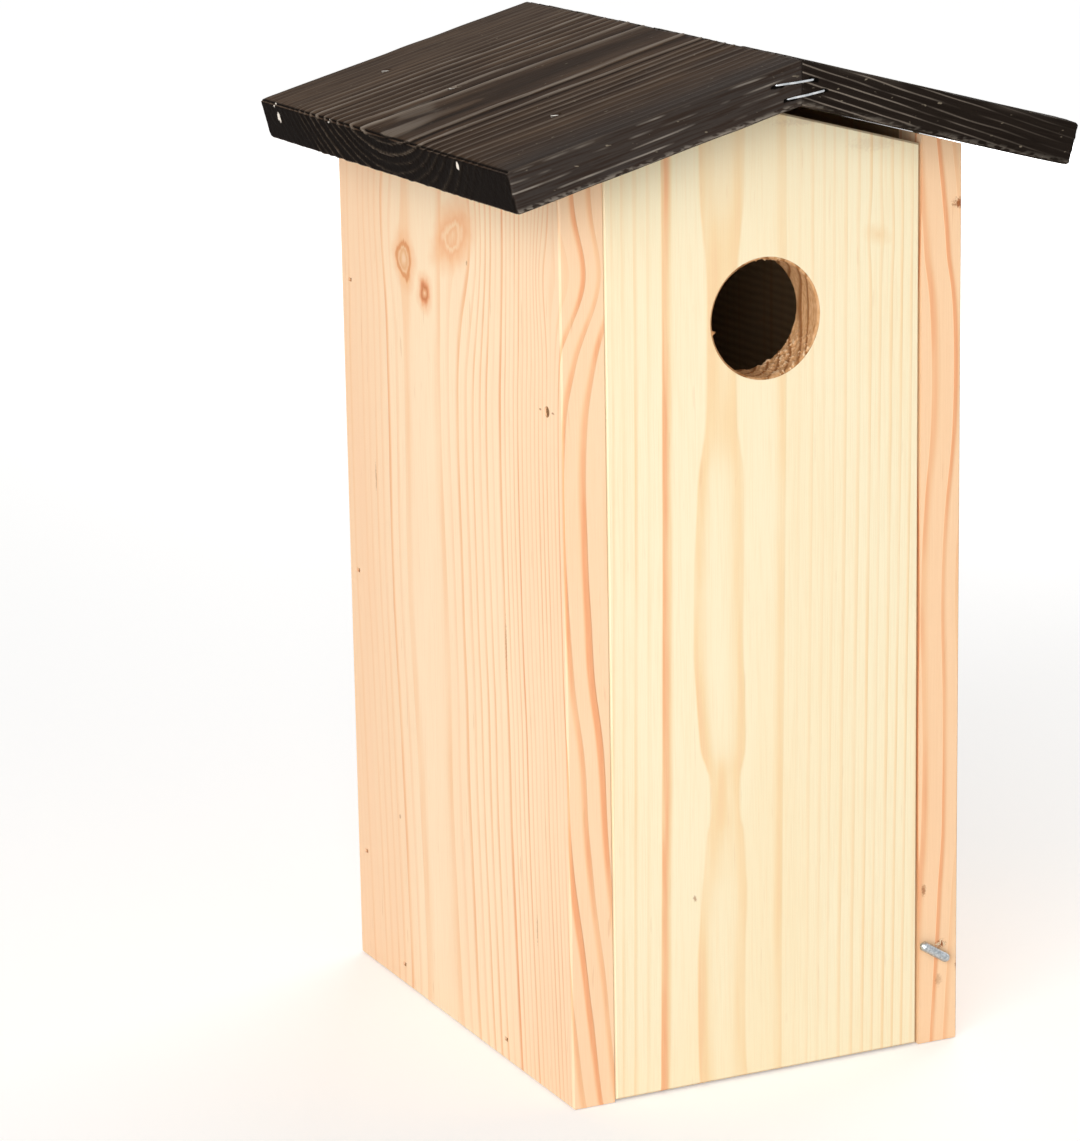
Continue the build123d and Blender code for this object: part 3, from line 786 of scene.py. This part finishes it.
left_roof_wood = {
    "seed": 101, "sway": 0.5, "share": 0.42, "faint": (0.5, 0.95),
    "heart": shifted([(-4, 57.5), (40, 57.8), (88, 58.0)], 0, front_y),
    "depth": shifted([(-4, 45.3), (40, 45.0), (66, 44.9), (73, 44.83), (80, 44.64), (88, 44.3)], 0, thick),
    "rings": [0.0, 36.6, 39.5, 42.0, 44.9, 47.3, 50.5, 53.0, 55.5, 58.2, 61.2, 65.4, 68.8, 72.2, 75.2, 78.4, 81.5,
              84.6, 87.6, 90.6, 93.6, 96.8, 100.0, 103.5, 107.0],
    "strong": {4: 1.2, 5: 1.1, 7: 0.85, 10: 0.85},
    "vivid": shifted([(-22, 0.3), (-8, 0.3), (8, 0.5), (22, 0.9), (38, 1.0), (76, 1.1), (106, 1.2), (114, 0.8),
                      (126, 0.35), (147, 0.25)], front_y),
    "worn": [shifted(corners, 0, front_y) for corners in (
        [(71, 77.0), (76, 66.0), (64.5, 61.5), (60, 75.5)],
        [(89, 62.5), (89, 48.8), (78, 50.0), (67.5, 55.5), (80, 61.5)])],
}
right_roof_wood = {
    "seed": 131, "sway": 0.6, "share": 0.36, "faint": (0.4, 1.0),
    "heart": shifted([(-4, 22.0), (40, 24.0), (88, 23.0)], 0, front_y),
    "depth": shifted([(-4, 40.5), (40, 37.4), (88, 33.6)], 0, thick),
    "rings": [0.0] + year_rings(31.0, 140.0, 2.8, 0.3, 17),
    "strong": {}, "worn": [], "vivid": [(roof_front, 0.7), (front_y, 1.0), (roof_rear, 1.0)],
}
left_roof = roof_board("roof_board_left_brushed", "roof_board_left", False, left_roof_wood)
right_roof = roof_board("roof_board_right_brushed", "roof_board_right", True, right_roof_wood)

# %% [markdown]
# ## Black-brown wood stain
# The roof has a thin black-brown wood stain, brushed on. It soaks into the torn earlywood and hardly
# into the hard latewood, so the ridges come out greyer and paler than the valleys, and most of all where
# hands and boxes have rubbed them. A stain leaves almost no film, so the gloss is low, and the cut end
# drinks the most of it and is nearly black.
#
# Three things need their own step: the flat faces, the pale lines that the saw left along the front
# faces, and the cut end at the eave, with its arcs of latewood and little chips of bare wood. The top is
# also painted a paler grey-brown towards the rear, a painted sheen.

# %% Stain
def slope_axes(tree, axes):
    """Down the slope and up from the underside, in mm, on either roof board."""
    side = add(tree, "Math ABSOLUTE", (axes[0],))
    height = add(tree, "Math SUBTRACT", (axes[2], under_z))
    down = add(tree, "Math MULTIPLY", (height, -sin(pitch)))
    up = add(tree, "Math MULTIPLY", (height, cos(pitch)))
    return (add(tree, "Math MULTIPLY_ADD", (side, cos(pitch), down)),
            add(tree, "Math MULTIPLY_ADD", (side, sin(pitch), up)))


def saw_lines(tree, look, down, up, in_front):
    """Broken pale lines along the front face, from 0 to 1."""
    weave = cloudy(tree, add(tree, "CombineXYZ", (down, up)), (22.0, 4.0, 1.0), 1.0)
    line = add(tree, "Math MULTIPLY_ADD", (down, look["slant"], up))
    line = add(tree, "Math ADD", (weave, line))
    line = add(tree, "Math MULTIPLY", (line, 1 / look["line_gap"]))
    offset = add(tree, "Math SUBTRACT", (add(tree, "Math FRACT", (line,)), 0.5))
    thin = add(tree, "MapRange", (add(tree, "Math ABSOLUTE", (offset,)), 0.13, 0.03))
    number = add(tree, "CombineXYZ", (down, add(tree, "Math FLOOR", (line,))))
    broken = cloudy(tree, number, (look["dash"], 1 / 7.3, 1.0), 2.0)
    broken = add(tree, "MapRange", (broken, look["breaks"], look["breaks"] + 0.16))
    lines = add(tree, "Math MULTIPLY", (thin, broken))
    lines = add(tree, "Math MULTIPLY", (lines, follow(tree, down, look["reach"])))
    return add(tree, "Math MULTIPLY", (lines, in_front))


def cut_end(tree, wood, look, mm, late, grit, at_eave):
    """The nearly black end at the eave, with arcs of latewood and chips of bare wood."""
    arcs = add(tree, "Math MULTIPLY", (late, late))
    arcs = add(tree, "Math MULTIPLY", (arcs, add(tree, "MapRange", (grit, 0.35, 0.6, 0.25, 0.75))))
    wood = painted(tree, wood, (at_eave, painted(tree, "#130E0B", (arcs, "#6A5D50"))))
    for y, z, size in look["chips"]:
        away = away_from(tree, mm, (0.0, y, z), (inf, size, size / 0.8))  # endless in x, which doesn't count
        away = add(tree, "Math ADD", (grit, add(tree, "Math SUBTRACT", (away, 0.5))))
        spot = add(tree, "Math MULTIPLY", (add(tree, "MapRange", (away, 1.1, 0.7)), at_eave))
        wood = painted(tree, wood, (spot, "#F3E9DC"))
    return wood


def wood_stain(name, look):
    """Stain on brushed spruce, read from the latewood, the wear and the gashes kept on the points, with painted
    shade in the gashes and a painted sheen towards the rear.
    """
    made, tree, skin = new_material(name)
    mm = in_mm(tree)
    axes = add(tree, "SeparateXYZ", (mm,)).node.outputs
    faces = add(tree, "SeparateXYZ", (add(tree, "TexCoord", out="Normal"),)).node.outputs
    late, hollow, worn, gash = (
        add(tree, "Attribute", out="Fac", attribute_name=key) for key in ("latewood", "hollow", "worn", "gash"))
    in_front = add(tree, "MapRange", (add(tree, "Math ABSOLUTE", (faces[1],)), 0.5, 0.8))
    at_eave = add(tree, "MapRange", (add(tree, "Math ABSOLUTE", (faces[0],)), 0.6, 0.9))
    down, up = slope_axes(tree, axes)
    flat = add(tree, "CombineXYZ", (down, axes[1], up))
    fibre = cloudy(tree, flat, (14.0, 0.55, 0.55), 3.0)
    cloud = cloudy(tree, flat, (34.0, 12.0, 12.0), 3.0)
    grit = cloudy(tree, mm, (1 / 0.45, 1 / 1.1, 1 / 1.1), 1.0)

    soaked = painted(tree, look["deep"], (add(tree, "MapRange", (cloud, 0.25, 0.75)), look["thin"]))
    streak = add(tree, "MapRange", (fibre, 0.42, 0.62, 0.0, 0.6))
    in_hollow = add(tree, "MapRange", (in_front, 0.0, 1.0, 0.9, 0.2))
    on_ridge = add(tree, "MapRange", (fibre, 0.3, 0.6, 0.3, 1.0))
    off_front = add(tree, "MapRange", (in_front, 0.0, 1.0, 1.0, 0.05))
    on_wear = add(tree, "MapRange", (fibre, 0.35, 0.6, 0.35, 0.8))
    lines = saw_lines(tree, look, down, up, in_front)
    arris = add(tree, "MapRange", (up, 2.0, 1.0, 0.0, look["arris"]))
    arris = add(tree, "Math MULTIPLY", (arris, add(tree, "MapRange", (grit, 0.43, 0.57))))
    wood = painted(
        tree, look["cool"],
        (follow(tree, axes[1], look["warmth"]), soaked),
        # Painted sheen: a paler grey-brown laid over the top, growing towards the rear.
        (follow(tree, axes[1], look["painted_sheen"]), "#6B5B4E"),
        (streak, look["deep"]),
        (add(tree, "Math MULTIPLY", (hollow, in_hollow), use_clamp=True), look["hollow"]),
        (add(tree, "Math MULTIPLY", (add(tree, "Math MULTIPLY", (late, on_ridge)), off_front)), look["ridge"]),
        (add(tree, "Math MULTIPLY", (worn, on_wear)), "#7A6E62"),
        (lines, look["line"]),
        (add(tree, "Math MULTIPLY", (arris, in_front)), "#8F867B"),
        (add(tree, "MapRange", (grit, 0.74, 0.82, 0.0, 0.5)), "#A0937F"))
    wood = cut_end(tree, wood, look, mm, late, grit, at_eave)
    # Painted shade: the gashes of the staples are painted nearly black.
    wood = painted(tree, wood, (add(tree, "MapRange", (gash, 0.25, 0.6, 0.0, 0.9)), "#050403"))

    relief = add(tree, "Math MULTIPLY_ADD", (fibre, 0.8, grit))
    relief = add(tree, "Math MULTIPLY_ADD", (lines, 0.5, relief))
    plug(tree, skin, {
        "Base Color": wood, "IOR": 1.5, "Specular IOR Level": 0.02,
        "Normal": add(tree, "Bump", {"Strength": 0.6, "Distance": 0.0002, "Height": relief}),
        "Roughness": add(tree, "MapRange", (fibre, 0.0, 1.0, 0.80, 0.62))})
    return made


eave_chip_z = 255.6
left_stain = {
    "hollow": "#160D07", "deep": "#2A1C13", "thin": "#5C4837", "cool": "#3A3532", "ridge": "#94877A",
    "line": "#9C9388",
    "warmth": [(roof_front, 0.1), (front_y - 12, 0.4), (front_y + 4, 0.9), (front_y + 20, 1.0), (roof_rear, 1.0)],
    # The painted sheen, growing towards the rear of the roof.
    "painted_sheen": [(roof_front, 0.0), (front_y + 38, 0.03), (front_y + 55, 0.2), (front_y + 90, 0.17),
              (front_y + 112, 0.28), (front_y + 120, 0.45), (roof_rear, 0.45)],
    "slant": 0.0, "line_gap": 2.6, "dash": 17.0, "breaks": 0.48, "arris": 0.7,
    "reach": [(0, 0.2), (10, 0.6), (30, 0.65), (80, 0.65), (88, 0.5)],
    "chips": shifted([(134.5, 0.0, 1.2), (136.0, 3.2, 0.6), (96.0, 3.4, 0.6), (10.7, 1.6, 0.9)],
                     front_y, eave_chip_z),
}
right_stain = dict(
    left_stain, hollow="#0B0806", deep="#1A1410", thin="#33281F", cool="#211B17", ridge="#6E6254", line="#80756A",
    slant=0.085, line_gap=2.0, dash=26.0, breaks=0.36, arris=0.25, chips=[],
    reach=[(0, 0.9), (20, 0.9), (45, 0.6), (62, 0.25), (88, 0.1)], painted_sheen=[(roof_front, 0.0), (roof_rear, 0.08)])
left_roof.data.materials.append(wood_stain("black_brown_stain_left", left_stain))
right_roof.data.materials.append(wood_stain("black_brown_stain_right", right_stain))
print("stained:", [m.name for m in left_roof.data.materials], [m.name for m in right_roof.data.materials])

# %% [markdown]
# ## The ridge staples
# Two wire staples hold the roof boards together at the front of the ridge. A staple is a flattened round
# wire, bent twice. In the solid model both lie flat on the wood. Here the wire gets its rounded section,
# and the crowns sit as the staple gun left them: the right end stands proud and catches the light, and
# the left end is driven into a gash in the wood. A loop of points is swept along the bent line.

# %% Ridge staples
def driven_staple(aside, drop, turn):
    """Loops of points along one staple, in mm: down the left leg, over the crown, down the right leg."""
    half, bend, leg = 5.4, 0.7, 10.0
    wide, deep = 0.32, 0.25  # half the wire, along the face and into it
    left, right = -0.58, 0.30  # the ends of the crown, out from the face
    crown = np.linspace(-half + bend, half - bend, 40)
    turned = np.linspace(0, pi / 2, 7)
    line = [(-half, w) for w in np.linspace(-leg, left - bend, 6)[:-1]]
    line += [(-half + bend - bend * cos(t), left - bend + bend * sin(t)) for t in turned[:-1]]
    line += list(zip(crown, left + (right - left) * soft_step(-half, 0.6, crown)))
    line += [(half - bend + bend * sin(t), right - bend + bend * cos(t)) for t in turned[1:]]
    line += [(half, w) for w in np.linspace(right - bend, -leg, 6)[1:]]
    line = np.array(line)
    ahead = np.gradient(line, axis=0)
    ahead /= np.linalg.norm(ahead, axis=1)[:, None]
    round_it = np.linspace(0, 2 * pi, 17)[:-1]
    u = line[:, :1] - ahead[:, 1:] * deep * np.sin(round_it)
    w = line[:, 1:] + ahead[:, :1] * deep * np.sin(round_it)
    v = np.repeat(wide * np.cos(round_it)[None, :], len(line), 0)
    slope = radians(turn)
    return np.stack([aside + u * cos(slope) - v * sin(slope), roof_front - w,
                     ridge_z - drop + u * sin(slope) + v * cos(slope)], -1)


staple_points, staple_faces = [], []
for aside, drop, turn in ((-2.2, 6.2, 4.8), (1.0, 9.6, 8.6)):
    wire = driven_staple(aside, drop, turn)
    base, (loops, around) = len(staple_points), wire.shape[:2]
    last = base + (loops - 1) * around
    staple_points += wire.reshape(-1, 3).tolist()
    staple_faces += joined(loops, around, base)
    staple_faces += [tuple(range(base, base + around))[::-1], tuple(range(last, last + around))]
staples = lay("ridge_staples_driven", staple_points, staple_faces,
              "house", "zinc_plated_steel", "ridge_staples", mend=True)
smooth(staples)

# %% [markdown]
# ## The drilled entrance
# The entrance was cut with a large drill bit. It slices the fibres cleanly at the sides, but at the top
# and the bottom it meets them end on and tears them out, which leaves a rough, fuzzy, brownish wall. The
# rings of the front show in it as bands that run parallel to the rim. We lay a thin sleeve into the hole,
# pressed in and out by rings and torn fibres. It turns with the front. The hanging hole in the back wall
# is in line with the entrance, so the record tells us how high the entrance is.

# %% Lining of the entrance
hanging = next(mount for mount in frame["record"]["mounts"] if mount["name"] == "hanging_hole")
entrance_z = hanging["pos_m"][2] / MM
entrance_r, rim_bevel = 16.0, 0.5
skin_gap, sleeve = 0.10, 0.07

turns = np.linspace(0, 2 * pi, 481)[:-1]
back_y = front_y + board_thick
row_ys = np.concatenate([[front_y + 0.05, front_y + 0.25], np.linspace(front_y + rim_bevel, back_y - rim_bevel, 44),
                         [back_y - 0.25, back_y - 0.05]])
yy, angle = (grid.reshape(-1) for grid in np.meshgrid(row_ys, turns, indexing="ij"))
flare = np.maximum(rim_bevel - (yy - front_y), 0) + np.maximum(rim_bevel - (back_y - yy), 0)
at = np.stack([entrance_r * np.cos(angle), yy, entrance_r * np.sin(angle)], -1)
heart_x, heart_deep = -13.2, 21.7
radius = np.hypot(at[:, 0] - heart_x, yy - front_y - heart_deep) + 0.15 * uneven(at, (6, 2, 6), 201)
lining_rings = [0.0, 6.5, 12.0, 16.2, 19.6, 22.9, 26.0, 28.9, 31.9, 33.6, 38.7]
season = np.interp(radius, lining_rings, np.arange(len(lining_rings))) % 1.0
bands = soft_step(0.55, 0.85, season) * (1 - soft_step(0.95, 1.0, season))

turned = np.degrees(angle)
facing = sum(much * np.exp(-((turned - middle) / wide) ** 2)
             for much, middle, wide in ((1.0, 305, 34), (0.8, 85, 30), (0.35, 235, 30)))
fibres = 1.1 * uneven(at, (1.3, 0.9, 1.3), 202) + 1.0 * uneven(at, (0.5, 0.45, 0.5), 203)
torn = facing * np.clip(fibres, 0, 1)
inward = 0.10 * bands + 0.55 * torn + 0.04 * (1 + uneven(at, (1.0, 0.7, 1.0), 204))
sliver = np.exp(-((turned - 189) / 1.6) ** 2) * (1 - soft_step(0.2, 2.4, yy - front_y))
inward += 1.1 * sliver

hole = entrance_r - skin_gap + flare
points = [np.stack([r * np.cos(angle), yy, entrance_z + r * np.sin(angle)], 1)
          for r in (hole - inward, hole + sleeve)]
rows, around, outer = len(row_ys), len(turns), len(yy)
faces = joined(rows, around) + joined(rows, around, outer, inside_out=True)
for row, flip in ((0, False), (rows - 1, True)):
    for k in range(around):
        a, b = row * around + k, row * around + (k + 1) % around
        rim = (a, outer + a, outer + b, b)
        faces.append(rim[::-1] if flip else rim)
lining = lay("entrance_lining", np.concatenate(points), faces, "swinging_front", "front_spruce",
             latewood=np.tile(bands, 2), torn=np.tile(torn, 2))
smooth(lining)
print("the entrance is at z", round(entrance_z, 2), "mm")

# %% [markdown]
# ## Torn spruce
# Cut fibres stand open like straws. They catch less light than planed wood, so the drilled wall is
# browner, with dark lines where the latewood bands pass through it and pale tips where fibres stick out.

# %% Drilled wood
drilled, tree, skin = new_material("drilled_spruce")
mm = in_mm(tree)
late = add(tree, "Attribute", out="Fac", attribute_name="latewood")
torn_out = add(tree, "Attribute", out="Fac", attribute_name="torn")
fuzz = cloudy(tree, mm, (1 / 1.6, 1 / 1.6, 2.0), 3.0)
wood = painted(
    tree, "#C6925F", (add(tree, "MapRange", (fuzz, 0.35, 0.65)), "#DDAE80"),
    (add(tree, "Math MULTIPLY", (late, 0.8)), "#8A5426"),
    (add(tree, "MapRange", (torn_out, 0.35, 0.75, 0.0, 0.85)), "#F0CDA3"))
plug(tree, skin, {
    "Base Color": wood, "Roughness": 0.85, "Specular IOR Level": 0.2,
    "Normal": add(tree, "Bump", {"Strength": 0.6, "Distance": 0.0002, "Height": fuzz})})
lining.data.materials.append(drilled)
print("drilled wood on", lining.name)

# %% [markdown]
# ## Splinters at the hook
# The hook was screwed in by hand, and its thread lifted a few splinters out of the edge of the right wall.
# Each one is a thin sliver, broad at its root in the wood and sharp at its free end. They are scattered
# with a seeded generator, so that every run gives the same ones, and they stay clear of the turning hook.

# %% Splinters
rng = np.random.default_rng(77)
hole_x, hole_z = 54.8, 28.5
out = np.array([0.0, -1.0, 0.0])
sliver_points, sliver_faces = [], []
for _ in range(16):
    root = np.array([hole_x + rng.uniform(-1.9, 1.5), front_y, hole_z + rng.uniform(-0.9, 1.1)])
    lean = rng.uniform(-1.2, 1.2)
    length, width = rng.uniform(0.7, 1.6), rng.uniform(0.12, 0.26)
    along = np.array([sin(lean), 0.0, cos(lean)])
    beside = np.array([cos(lean), 0.0, -sin(lean)]) * width
    base = len(sliver_points)
    sliver_points += [
        root - beside - out * 0.1, root + beside - out * 0.1,
        root + beside * 0.5 + out * 0.14, root - beside * 0.5 + out * 0.14,
        root + along * length + out * rng.uniform(0.12, 0.3)]
    sliver_faces += [tuple(base + k for k in corners) for corners in (
        (0, 3, 4), (3, 2, 4), (2, 1, 4), (1, 0, 4), (0, 1, 2, 3))]
splinters = lay("hook_splinters", sliver_points, sliver_faces, "house", "planed_spruce")

torn_spruce, tree, skin = new_material("torn_spruce_splinters")
hairs = cloudy(tree, in_mm(tree), (1 / 6.0, 1 / 6.0, 1 / 0.8), 2.0)
plug(tree, skin, {
    "Base Color": painted(tree, "#FBEBD0", (add(tree, "MapRange", (hairs, 0.4, 0.6)), "#E9C79B")),
    "Normal": add(tree, "Bump", {"Strength": 0.5, "Distance": 0.00005, "Height": hairs}),
    "Roughness": 0.7, "Specular IOR Level": 0.3})
splinters.data.materials.append(torn_spruce)

# %% [markdown]
# ## Zinc-plated steel and bright steel
# The turn hook and the staples are zinc-plated: a thin, slightly bluish skin, a little cloudy, bright
# where it is smooth, and brightest on the new wire of the staples. The brads of the roof are plain drawn
# steel, greyer and duller. Those in the raw walls and the pivot nails are coloured a darker brown. All are
# bare metals, so they are fully metallic and keep the usual IOR, and only the colour and the roughness
# tell them apart. The clouds of the zinc are in fact a tenth of a millimetre wide, and are drawn about six
# times as coarse, so that they show.

# %% Metals
def bare_metal(name, light, dark, smoothest, roughest, cloud_size):
    """A metal with a cloudy tone, in clouds of the given size in mm, and drawing marks."""
    made, tree, skin = new_material(name)
    place = add(tree, "TexCoord", out="Object")
    clouds = add(tree, "TexNoise", {"Vector": place, "Scale": 1 / (cloud_size * MM), "Detail": 2.0})
    scratch = add(tree, "TexNoise", {"Vector": place, "Scale": 2600.0, "Detail": 1.0})
    plug(tree, skin, {
        "Metallic": 1.0,
        "Base Color": painted(tree, dark, (add(tree, "MapRange", (clouds, 0.35, 0.65)), light)),
        "Roughness": add(tree, "MapRange", (clouds, 0.3, 0.7, roughest, smoothest)),
        "Normal": add(tree, "Bump", {"Strength": 0.25, "Distance": 0.00004, "Height": scratch})})
    return made


zinc = bare_metal("zinc_plated_mild_steel", "#C9CED2", "#9EA5AA", 0.26, 0.42, 0.6)
steel = bare_metal("bright_drawn_steel", "#BDB6AC", "#8F877C", 0.34, 0.52, 0.5)
# The brads of the walls and the pivot nails get a brown steel, darker than the rest.
brown_steel = bare_metal("drawn_steel_brown", "#A98861", "#6E4A2B", 0.42, 0.60, 0.5)
staples.data.materials.append(bare_metal("zinc_plated_staple_wire", "#E2E4E6", "#B4B9BD", 0.22, 0.36, 2.0))
for node, piece in nodes.items():
    metal = zinc if node in ("turn_hook", "ridge_staples") else steel if "roof" in node else brown_steel
    if "brads" in node or "nail" in node or metal is zinc:
        for slot in piece.material_slots:
            slot.material = metal
        print(node, "->", metal.name)
